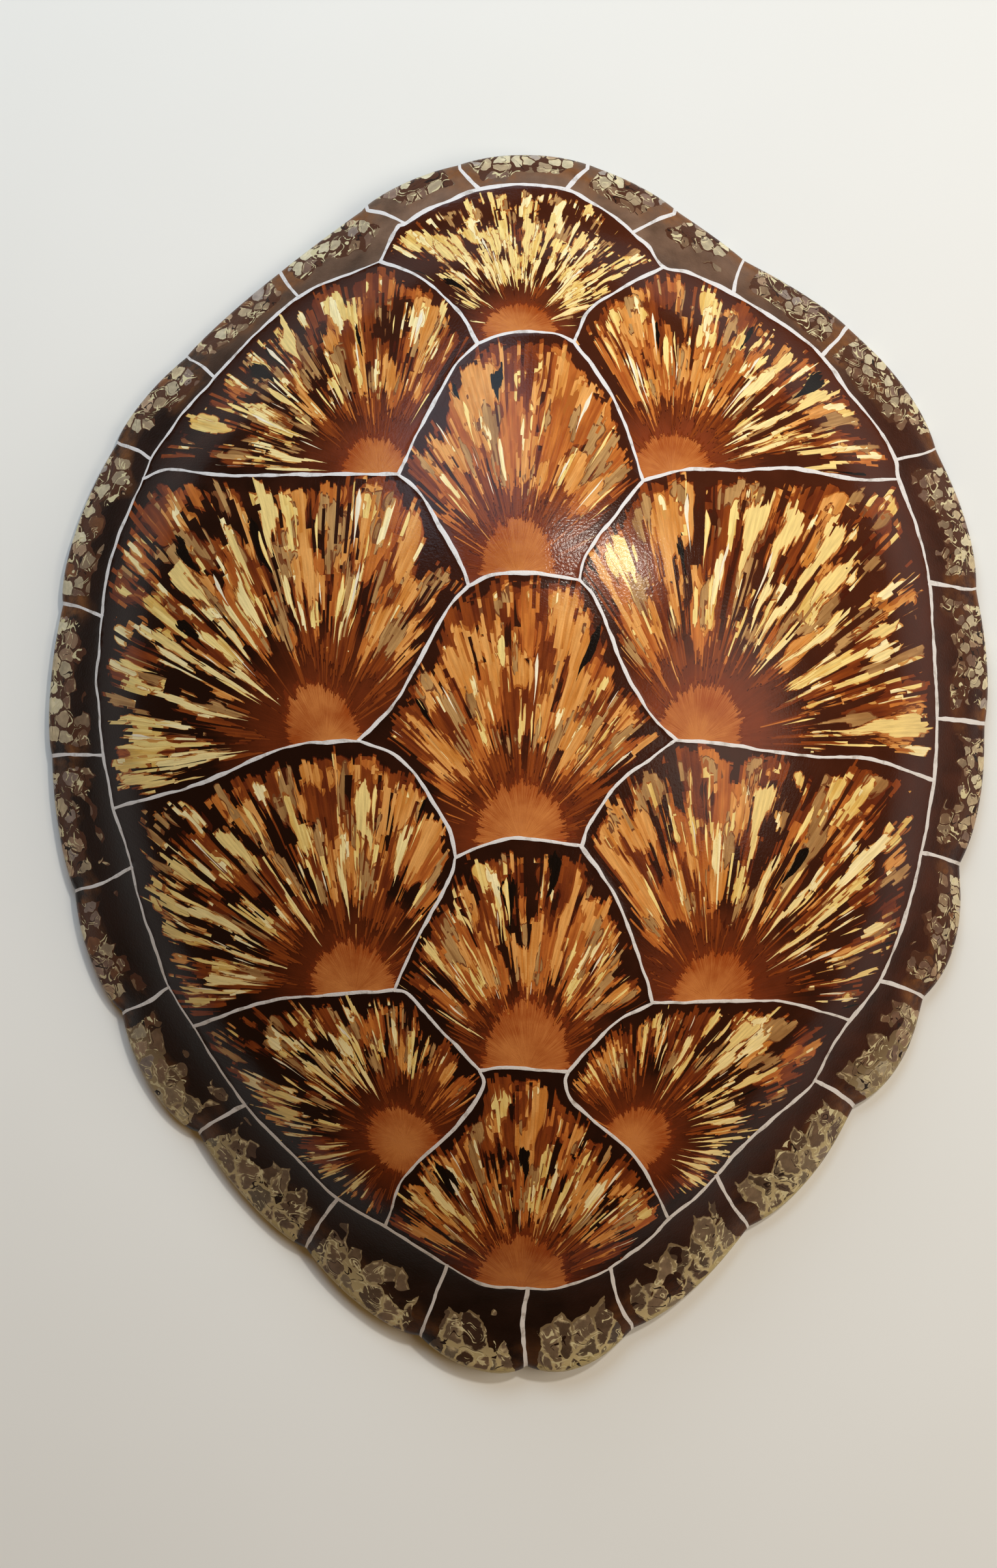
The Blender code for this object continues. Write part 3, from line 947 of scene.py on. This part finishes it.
# Single strokes over the patches. The presence is the third number plus the fourth times the cream map.
# Name, lanes per radian, presence, cream's part, width, start, spread, end, length, tear, and the colours of
# rim, edge and core
STROKE_LAYERS = (
    ("cream_outer", 6.6, -0.13, 0.76, 0.3, 52, 34, 7, 26, 11, "#6d3416", "#b8743a", "#e6c880"),
    ("cream_inner", 7.6, -0.1, 0.7, 0.3, 28, 24, 9, 22, 10, "#7a3d1a", "#c48a47", "#edd595"),
    ("black", 9.0, 0.14, 0.0, 0.28, 58, 40, 3, 16, 4, "#170d08", "#170d08", "#120b08"),
    ("cream_line", 15.0, 0.24, 0.1, 0.24, 32, 50, 7, 14, 4, "#b97a3c", "#e6bd6c", "#f2d68a"),
    ("white", 12.0, 0.12, 0.0, 0.24, 34, 46, 6, 9, 1.5, "#c9924f", "#e6d5ae", "#ebdfc6"),
    ("white_thin", 21.0, 0.07, 0.0, 0.19, 38, 46, 6, 16, 1.5, "#d9b27c", "#e6d8ba", "#ebdfc6"),
)


HORN_IOR = 1.48


def horn_material(colours):
    """Scute horn, coloured by hand in fans of torn strokes and varnished: deep, warm and crisp."""
    material, add, shader = new_material("painted_scute_horn_varnished")
    place = add("UVMap", uv_map="growth")
    polar = add("SeparateXYZ", place).outputs
    angle = polar[0]
    radius = add("Math MULTIPLY", polar[1], 1000.0)
    gap_metres = add("Attribute", attribute_name="seam_gap").outputs["Fac"]
    gap = add("Math MULTIPLY", gap_metres, 1000.0)
    areola = add("Attribute", attribute_name="areola").outputs["Fac"]
    cream = add("Attribute", attribute_name="cream").outputs["Fac"]
    scute = add("Attribute", attribute_name="scute").outputs["Fac"]
    # The hashes need this whole number exact, and reading it off the mesh leaves rounding errors
    scute = add("Math ROUND", scute)
    spot = add("TexCoord").outputs["Object"]

    # Noises that the layers share: a slow drift of the rays, brush streaks, tones and blotches
    drift_place = add("VectorMath MULTIPLY", place, (5.0, 25.0, 0.0))
    drift = add("TexNoise", {"Vector": drift_place, "Scale": 1.0, "Detail": 1.0})
    streak_place = add("VectorMath MULTIPLY", place, (90.0, 70.0, 0.0))
    streaks = add("TexNoise", {"Vector": streak_place, "Scale": 1.0, "Detail": 3.0, "Roughness": 0.6})
    tone_place = add("VectorMath MULTIPLY", place, (17.0, 45.0, 0.0))
    tones = add("TexNoise", {"Vector": tone_place, "Scale": 1.0, "Detail": 2.0})
    blotch = add("TexNoise", {"Vector": spot, "Scale": 65.0, "Detail": 3.0, "Roughness": 0.55})

    # Steps 1 to 2 mm wide and 4 to 5 mm wide
    hair_tree = hair_group()
    fine = add("Group", angle, radius, drift, scute, 62, 22, node_tree=hair_tree)
    broad = add("Group", angle, radius, drift, scute, 26, 31, node_tree=hair_tree)
    hair = add("Math ADD", fine, broad)

    # Dark horn, warmer and lighter towards the growth centre
    warmth = add("MapRange", radius, 22.0, 58.0, 0.85, -0.2)
    warm = add("Math MULTIPLY_ADD", blotch, 0.5, warmth)
    warm = add("Math MULTIPLY_ADD", hair, 0.12, warm)
    warm = add("Math SUBTRACT", warm, 0.2, use_clamp=True)
    # Chestnut rather than black towards the head and the right flank: partly the horn's own tone, partly
    # painted light on the lit side
    chestnut_and_painted_light = add("VectorMath DOT_PRODUCT", spot, (2.6, 1.7, 0.0)).outputs["Value"]
    chestnut_and_painted_light = add("Math MULTIPLY_ADD", blotch, 0.6, chestnut_and_painted_light)
    chestnut_and_painted_light = add("Math SUBTRACT", chestnut_and_painted_light, 0.08, use_clamp=True)
    far_ground = add("MixRGB", chestnut_and_painted_light, tuple(colours.ground), "#4c2212")
    near_ground = add("MixRGB", chestnut_and_painted_light, tuple(colours.ground_warm), "#8a3e1f")
    colour = add("MixRGB", warm, far_ground, near_ground)
    tone = add("Math MULTIPLY_ADD", fine, 0.35, tones)
    tone = add("MapRange", tone, 0.32, 0.68, 0.0, 1.0)
    tone_wash = add("MapRange", streaks, 0.3, 0.7, 0.78, 1.15)

    patches = patch_group()
    for layer, row in enumerate(PATCH_LAYERS):
        name, across, along, share, part, start, end, steps, rim, low, high = row
        threshold = add("Math MULTIPLY_ADD", cream, part, share)
        seed = add("Math ADD", scute, 11.7 * (layer + 1))
        step = add("Math MULTIPLY", hair, steps)
        given = (angle, radius, gap, seed, step, across, along, threshold, start, end)
        mask, halo = add("Group", *given, node_tree=patches, label=name).outputs
        tint = add("MixRGB", tone, low, high)
        tint = add("MixRGB", 1.0, tint, tone_wash, blend_type="MULTIPLY")
        colour = add("MixRGB", halo, colour, rim)
        colour = add("MixRGB", mask, colour, tint)

    ragged = add("Math MULTIPLY_ADD", streaks, 1.6, -1.9)
    ragged = add("Math MULTIPLY_ADD", tones, 2.2, ragged)
    strokes = stroke_group()
    for layer, row in enumerate(STROKE_LAYERS):
        name, density, share, part, width, start, spread, end, length, tear, rim, edge, core = row
        presence = add("Math MULTIPLY_ADD", cream, part, share)
        seed = add("Math ADD", scute, 5.3 * (layer + 1))
        given = (angle, radius, gap, drift, ragged, hair, seed, density, presence, width, start, spread, end)
        mask, inner, halo = add("Group", *given, length, tear, node_tree=strokes, label=name).outputs
        tint = add("MixRGB", 1.0, core, tone_wash, blend_type="MULTIPLY")
        colour = add("MixRGB", halo, colour, rim)
        colour = add("MixRGB", mask, colour, edge)
        colour = add("MixRGB", inner, colour, tint)

    # The areola: a ragged orange patch on the growth centre, with a rusty fringe
    wave_place = add("VectorMath MULTIPLY", place, (7.0, 0.0, 0.0))
    wave = add("TexNoise", {"Vector": wave_place, "Scale": 1.0, "Detail": 3.0})
    torn = add("Math MULTIPLY_ADD", hair, 0.1, areola)
    torn = add("Math MULTIPLY_ADD", wave, 0.5, torn)
    on_fringe = add("Math MULTIPLY_ADD", broad, 0.16, torn)
    on_fringe = add("Math LESS_THAN", on_fringe, 1.31)
    colour = add("MixRGB", on_fringe, colour, "#6f2d12")
    on_areola = add("Math LESS_THAN", torn, 1.23)
    glow = add("Math MULTIPLY_ADD", streaks, 1.1, blotch)
    glow = add("Math MULTIPLY_ADD", torn, -0.4, glow)
    areola_tone = add("MapRange", glow, 0.4, 0.95, 0.0, 1.0)
    areola_colour = add("MixRGB", areola_tone, "#964317", "#c57a3f")
    colour = add("MixRGB", on_areola, colour, areola_colour)

    # A few spattered drops of cream, 1 to 2 mm across
    drops = add("TexVoronoi", {"Vector": spot, "Scale": 34.0})
    drop_draw = add("SeparateColor", drops.outputs["Color"]).outputs
    drop_size = add("MapRange", drop_draw[0], 0.6, 1.0, 0.01, 0.04)
    on_drop = add("Math LESS_THAN", drops, drop_size)
    colour = add("MixRGB", on_drop, colour, "#e8cf96")

    # Satin varnish over ridges 0.6 mm apart, which break its glare up into sparkle
    rough = add("MapRange", blotch, 0.3, 0.7, 0.18, 0.27)
    grain = add("TexNoise", {"Vector": spot, "Scale": 1100.0, "Detail": 2.0})
    height = add("Math MULTIPLY_ADD", grain, 0.8, streaks)
    bump = add("Bump", {"Strength": 0.5, "Distance": 0.0002, "Height": height})
    pimples = add("TexNoise", {"Vector": spot, "Scale": 900.0, "Detail": 1.0})
    coat_bump = add("Bump", {"Strength": 0.38, "Distance": 0.0002, "Height": pimples})
    feed(shader, {"Base Color": colour, "Roughness": rough, "Normal": bump})
    feed(shader, {"IOR": HORN_IOR, "Specular IOR Level": 0.06})
    feed(shader, {"Coat Weight": 0.11, "Coat Roughness": 0.13, "Coat Normal": coat_bump})
    return material


# Colours of the rim's marbled cells, by how likely each is
RIM_CELLS = (
    (0.0, "#b5977a"), (0.16, "#dccfac"), (0.36, "#8d7466"), (0.48, "#c9b592"), (0.64, "#e2d6b4"),
    (0.78, "#7d4f30"), (0.88, "#aa9c92"),
)


def rim_material():
    """Rim plate horn, varnished: near black inwards, with rounded marbled cells along the free edge."""
    material, add, shader = new_material("marbled_rim_horn_varnished")
    place = add("UVMap", uv_map="growth")
    in_mm = add("VectorMath MULTIPLY", place, (1000.0, 1000.0, 0.0))
    depth = add("SeparateXYZ", in_mm).outputs[1]
    gap_metres = add("Attribute", attribute_name="seam_gap").outputs["Fac"]
    gap = add("Math MULTIPLY", gap_metres, 1000.0)
    per_mm = add("Attribute", attribute_name="rim_cells").outputs["Fac"]
    spot = add("TexCoord").outputs["Object"]
    blotch = add("TexNoise", {"Vector": spot, "Scale": 60.0, "Detail": 4.0, "Roughness": 0.6})
    coast = add("TexNoise", {"Vector": spot, "Scale": 38.0, "Detail": 2.0})
    ripple = add("TexNoise", {"Vector": spot, "Scale": 260.0, "Detail": 3.0})
    rear = add("SeparateXYZ", spot).outputs[1]
    rear = add("MapRange", rear, -0.1, -0.19, 0.0, 1.0)

    # Cells 5 to 8 mm across in the plane of the plate, warped by 5 mm
    warp = add("TexNoise", {"Vector": spot, "Scale": 110.0, "Detail": 2.0})
    pushed = add("VectorMath MULTIPLY_ADD", warp.outputs["Color"], (8.0, 8.0, 0.0), in_mm)
    inward = add("MapRange", rear, 0.0, 1.0, 1.0, 0.6)
    inward = add("Math MULTIPLY", inward, per_mm)
    spacing = add("CombineXYZ", per_mm, inward)
    spaced = add("VectorMath MULTIPLY", pushed, spacing)
    flat_cells = {"Vector": spaced, "Scale": 1.0}
    cells = add("TexVoronoi", flat_cells, voronoi_dimensions="2D")
    walls = add("TexVoronoi", flat_cells, voronoi_dimensions="2D", feature="DISTANCE_TO_EDGE")
    pick = add("SeparateColor", cells.outputs["Color"]).outputs
    middle = add("SeparateXYZ", cells.outputs["Position"]).outputs[1]
    middle = add("Math DIVIDE", middle, inward)

    # A cell is there when its middle is near the edge: the limit wanders between about 4 and 19 mm
    limit = add("MapRange", coast, 0.32, 0.68, 4.0, 19.0)
    limit = add("Math MULTIPLY_ADD", rear, 6.0, limit)
    own_limit = add("Math MULTIPLY_ADD", pick[1], 8.0, limit)
    own_limit = add("Math ADD", own_limit, 5.0)
    there = add("Math GREATER_THAN", own_limit, middle)
    seam_room = add("MapRange", coast, 0.3, 0.7, 7.0, 2.0)
    seam_room = add("Math MULTIPLY_ADD", ripple, 4.0, seam_room)
    off_seam = add("Math GREATER_THAN", gap, seam_room)
    there = add("Math MULTIPLY", there, off_seam)
    wall_width = add("MapRange", blotch, 0.3, 0.7, 0.1, 0.03)
    inside = add("Math GREATER_THAN", walls, wall_width)
    rounded = add("Math MULTIPLY_ADD", ripple, 0.4, cells)
    rounded = add("Math MULTIPLY_ADD", rear, -0.3, rounded)
    rounded = add("Math LESS_THAN", rounded, 0.66)
    inside = add("Math MULTIPLY", inside, rounded)
    inside = add("Math MULTIPLY", inside, there)

    ramp = add("ValToRGB", pick[0])
    ramp.color_ramp.interpolation = "CONSTANT"
    for number, (share, code) in enumerate(RIM_CELLS):
        known = number < len(ramp.color_ramp.elements)
        element = ramp.color_ramp.elements[number] if known else ramp.color_ramp.elements.new(share)
        element.position = share
        element.color = srgb(code)
    rear_tone = add("MixRGB", pick[2], "#2b1a13", "#7b6650")
    inner = add("MapRange", middle, 5.0, 17.0, 0.0, 0.85)
    ramp = add("MixRGB", inner, ramp, "#63402a")
    rear_share = add("Math MULTIPLY", rear, 0.85)
    cell_colour = add("MixRGB", rear_share, ramp, rear_tone)
    lip = add("Math MULTIPLY_ADD", ripple, -0.5, walls)
    lip = add("MapRange", lip, -0.22, -0.1, 0.8, 0.0)
    cell_colour = add("MixRGB", lip, cell_colour, "#cbb890")
    wash = add("MapRange", ripple, 0.3, 0.7, 0.72, 1.12)
    cell_colour = add("MixRGB", 1.0, cell_colour, wash, blend_type="MULTIPLY")

    # Dark horn with brown and rusty stains among the cells, and painted light on the right side and at the
    # head
    dark = add("MixRGB", blotch, "#0a0504", "#29140c")
    spots = add("SeparateXYZ", spot).outputs
    # Browner towards the right: partly the horn's own tone, partly painted light on the side the lamps fall
    # on
    right = add("MapRange", spots[0], 0.0, 0.2, 0.0, 0.75)
    right = add("Math MULTIPLY", right, blotch)
    dark = add("MixRGB", right, dark, "#5a2c1a")
    # Greyer towards the head: a painted sheen, the haze of a lamp reflected in the varnish
    painted_sheen_front = add("MapRange", spots[1], 0.16, 0.25, 0.0, 1.4)
    painted_sheen_front = add("Math MULTIPLY", painted_sheen_front, blotch)
    dark = add("MixRGB", painted_sheen_front, dark, "#80634f")
    stain = add("Math SUBTRACT", limit, depth)
    stain = add("MapRange", stain, -5.0, 5.0, 0.0, 1.0)
    rusty = add("MapRange", blotch, 0.41, 0.58, 0.0, 0.85)
    stain = add("Math MULTIPLY", stain, rusty)
    calm = add("MapRange", rear, 0.0, 1.0, 1.0, 0.35)
    stain = add("Math MULTIPLY", stain, calm)
    stain_colour = add("MixRGB", ripple, "#3f2315", "#935c2c")
    colour = add("MixRGB", stain, dark, stain_colour)

    # Between the cells brown outlines, and at the tail pale ones that run inwards from a bare khaki edge
    vein = add("MapRange", depth, 4.0, 24.0, 1.0, 0.25)
    vein = add("Math MULTIPLY", vein, rear)
    outline_colour = add("MixRGB", vein, "#4b2b1b", "#c2b083")
    colour = add("MixRGB", there, colour, outline_colour)
    colour = add("MixRGB", inside, colour, cell_colour)
    bare = add("Math MULTIPLY_ADD", coast, 14.0, -7.5)
    bare = add("Math MULTIPLY_ADD", ripple, 6.0, bare)
    bare = add("Math SUBTRACT", bare, depth)
    bare = add("Math DIVIDE", bare, 1.0, use_clamp=True)
    bare = add("Math MULTIPLY", bare, rear)
    bare = add("Math MULTIPLY", bare, off_seam)
    bare_colour = add("MixRGB", wash, "#948358", "#b5a473")
    colour = add("MixRGB", bare, colour, bare_colour)

    # Pale worm lines about 1 mm wide, and dark cracks, that wander across the cells
    swirl = add("TexNoise", {"Vector": spot, "Scale": 95.0, "Detail": 1.0, "Distortion": 0.6})
    reach = add("Math ADD", limit, 3.0)
    reach = add("Math GREATER_THAN", reach, depth)
    reach = add("Math MULTIPLY", reach, off_seam)
    for level, width, code in ((0.5, 0.016, "#cbbf96"), (0.57, 0.015, "#24130c"), (0.42, 0.014, "#cbbf96")):
        from_line = add("Math SUBTRACT", swirl, level)
        from_line = add("Math ABSOLUTE", from_line)
        line_width = add("MapRange", ripple, 0.44, 0.6, 0.0, width)
        on_line = add("Math LESS_THAN", from_line, line_width)
        on_line = add("Math MULTIPLY", on_line, reach)
        colour = add("MixRGB", on_line, colour, code)

    rough = add("MapRange", blotch, 0.3, 0.7, 0.32, 0.44)
    grain = add("TexNoise", {"Vector": spot, "Scale": 1100.0, "Detail": 2.0})
    height = add("Math MULTIPLY_ADD", ripple, 0.6, grain)
    bump = add("Bump", {"Strength": 0.4, "Distance": 0.0003, "Height": height})
    feed(shader, {"Base Color": colour, "Roughness": rough, "Normal": bump})
    feed(shader, {"IOR": HORN_IOR, "Specular IOR Level": 0.15})
    return material


def seam_material(colours):
    """Brushed-on off-white paint: thick and soft edged, thinner and greyer in places."""
    material, add, shader = new_material("brushed_seam_paint")
    spot = add("TexCoord").outputs["Object"]
    thin = add("TexNoise", {"Vector": spot, "Scale": 160.0, "Detail": 4.0, "Roughness": 0.65})
    share = add("MapRange", thin, 0.28, 0.46, 1.0, 0.0)
    colour = add("MixRGB", share, tuple(colours.seam), "#a79d95")
    grain = add("TexNoise", {"Vector": spot, "Scale": 1500.0, "Detail": 2.0})
    bump = add("Bump", {"Strength": 0.4, "Distance": 0.0003, "Height": grain})
    rough = add("MapRange", thin, 0.3, 0.7, 0.5, 0.38)
    feed(shader, {"Base Color": colour, "Roughness": rough, "Normal": bump})
    return material


def bone_material(colours):
    """Bare cured bone: ivory, stained brown in blotches, finely pitted and darker at the bottom of each pit.
    """
    material, add, shader = new_material("bare_carapace_bone")
    spot = add("TexCoord").outputs["Object"]
    stain = add("TexNoise", {"Vector": spot, "Scale": 22.0, "Detail": 5.0, "Roughness": 0.6})
    share = add("MapRange", stain, 0.35, 0.7, 0.0, 0.8)
    colour = add("MixRGB", share, tuple(colours.bone), "#8d7450")
    pits = add("TexVoronoi", {"Vector": spot, "Scale": 700.0})
    pit = add("MapRange", pits, 0.0, 0.35, 0.0, 1.0)
    # Darker towards the bottom of each pit
    colour = add("MixRGB", pit, "#7b6242", colour)
    bump = add("Bump", {"Strength": 0.5, "Distance": 0.0006, "Height": pit})
    rough = add("MapRange", stain, 0.3, 0.7, 0.7, 0.85)
    feed(shader, {"Base Color": colour, "Roughness": rough, "Normal": bump})
    return material


def floor_material(studio):
    """Matt painted board, with a trace of mottling."""
    material, add, shader = new_material("matt_board")
    spot = add("TexCoord").outputs["Object"]
    mottle = add("TexNoise", {"Vector": spot, "Scale": 6.0, "Detail": 3.0})
    colour = add("MixRGB", mottle, tuple(studio.floor), "#dfdfdc")
    feed(shader, {"Base Color": colour, "Roughness": 0.9})
    return material


# Operators

SHARP_ANGLE = math.radians(50)
FLOOR_SIZE = 40
FLOOR_LEVEL = -0.0002
WORLD_COLOUR = "#ffc678"
WORLD_STRENGTH = 0.16
SENSOR_WIDTH = 36

# The lights' names, places, widths, powers and colours
LIGHTS = (
    ("key", (0.68, 0.88, 1.66), 0.15, 13.0, "#fff8ec"),
    ("head", (-0.3, 1.3, 1.15), 1.2, 20.5, "#d0eaff"),
    ("corner", (1.3, 0.0, 1.4), 1.2, 15.5, "#fff7e8"),
)


class CARAPACE_OT_shell(bpy.types.Operator):
    """Makes the carapace: horn, rim, painted seams and the bone underneath, as one mesh"""

    bl_idname = "carapace.shell"
    bl_label = "Make the carapace"

    def execute(self, context):
        scene = context.scene
        dome = Dome(scene.carapace_sizes.height)
        mesh = carapace_mesh("painted_carapace", dome, scene.carapace_studio, scene.carapace_sizes)
        colours = scene.carapace_colours
        mesh.materials.append(horn_material(colours))
        mesh.materials.append(rim_material())
        mesh.materials.append(seam_material(colours))
        mesh.materials.append(bone_material(colours))
        shell = bpy.data.objects.new("painted_carapace", mesh)
        scene.collection.objects.link(shell)
        bpy.ops.object.select_all(action="DESELECT")
        shell.select_set(True)
        context.view_layer.objects.active = shell
        bpy.ops.object.mode_set(mode="EDIT")
        bpy.ops.mesh.select_all(action="SELECT")
        bpy.ops.mesh.normals_make_consistent(inside=False)
        bpy.ops.object.mode_set(mode="OBJECT")
        bpy.ops.object.shade_smooth_by_angle(angle=SHARP_ANGLE)
        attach(shell, "root")
        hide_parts("carapace")
        return {"FINISHED"}


class CARAPACE_OT_studio(bpy.types.Operator):
    """Makes the floor, the lights and the camera"""

    bl_idname = "carapace.studio"
    bl_label = "Make the studio"

    def execute(self, context):
        scene = context.scene
        studio = scene.carapace_studio
        bpy.ops.object.select_all(action="DESELECT")
        bpy.ops.mesh.primitive_plane_add(size=FLOOR_SIZE, location=(0, 0, FLOOR_LEVEL))
        floor = context.object
        floor.name = "floor"
        floor.data.materials.append(floor_material(studio))
        for light in LIGHTS:
            self.add_light(scene, *light)
        world = bpy.data.worlds.new("studio")
        world.use_nodes = True
        background = world.node_tree.nodes["Background"]
        background.inputs["Color"].default_value = srgb(WORLD_COLOUR)
        background.inputs["Strength"].default_value = WORLD_STRENGTH
        scene.world = world
        scene.view_settings.view_transform = "Standard"
        self.add_camera(scene, studio)
        return {"FINISHED"}

    @staticmethod
    def add_light(scene, name, place, size, power, code):
        data = bpy.data.lights.new(name, "AREA")
        data.shape = "DISK"
        data.size = size
        data.energy = power
        data.color = srgb(code)[:3]
        light = bpy.data.objects.new(name, data)
        light.location = place
        light.rotation_euler = (-Vector(place)).to_track_quat("-Z", "Y").to_euler()
        scene.collection.objects.link(light)

    @staticmethod
    def add_camera(scene, studio):
        data = bpy.data.cameras.new("camera")
        data.sensor_width = SENSOR_WIDTH
        data.lens = SENSOR_WIDTH * (studio.camera_height - RIM_LEVEL) / studio.frame_height
        camera = bpy.data.objects.new("camera", data)
        camera.location = (studio.aim[0], studio.aim[1], studio.camera_height)
        scene.collection.objects.link(camera)
        scene.camera = camera


class CARAPACE_PT_panel(bpy.types.Panel):
    """Lists the carapace's sizes, colours and operators"""

    bl_label = "Carapace"
    bl_space_type = "VIEW_3D"
    bl_region_type = "UI"
    bl_category = "Carapace"

    def draw(self, context):
        for group in ("carapace_sizes", "carapace_colours", "carapace_studio"):
            settings = getattr(context.scene, group)
            box = self.layout.box()
            for name in settings.bl_rna.properties.keys():
                if name not in ("rna_type", "name"):
                    box.prop(settings, name)
        self.layout.operator("carapace.shell")
        self.layout.operator("carapace.studio")


CLASSES = (
    CarapaceSizes, CarapaceColours, StudioSettings, CARAPACE_OT_shell, CARAPACE_OT_studio, CARAPACE_PT_panel,
)


def register():
    for one in CLASSES:
        bpy.utils.register_class(one)
    bpy.types.Scene.carapace_sizes = bpy.props.PointerProperty(type=CarapaceSizes)
    bpy.types.Scene.carapace_colours = bpy.props.PointerProperty(type=CarapaceColours)
    bpy.types.Scene.carapace_studio = bpy.props.PointerProperty(type=StudioSettings)


def unregister():
    for name in ("carapace_sizes", "carapace_colours", "carapace_studio"):
        delattr(bpy.types.Scene, name)
    for one in reversed(CLASSES):
        bpy.utils.unregister_class(one)


def main():
    register()
    bpy.ops.carapace.shell()
    bpy.ops.carapace.studio()


if __name__ == "__main__":
    main()
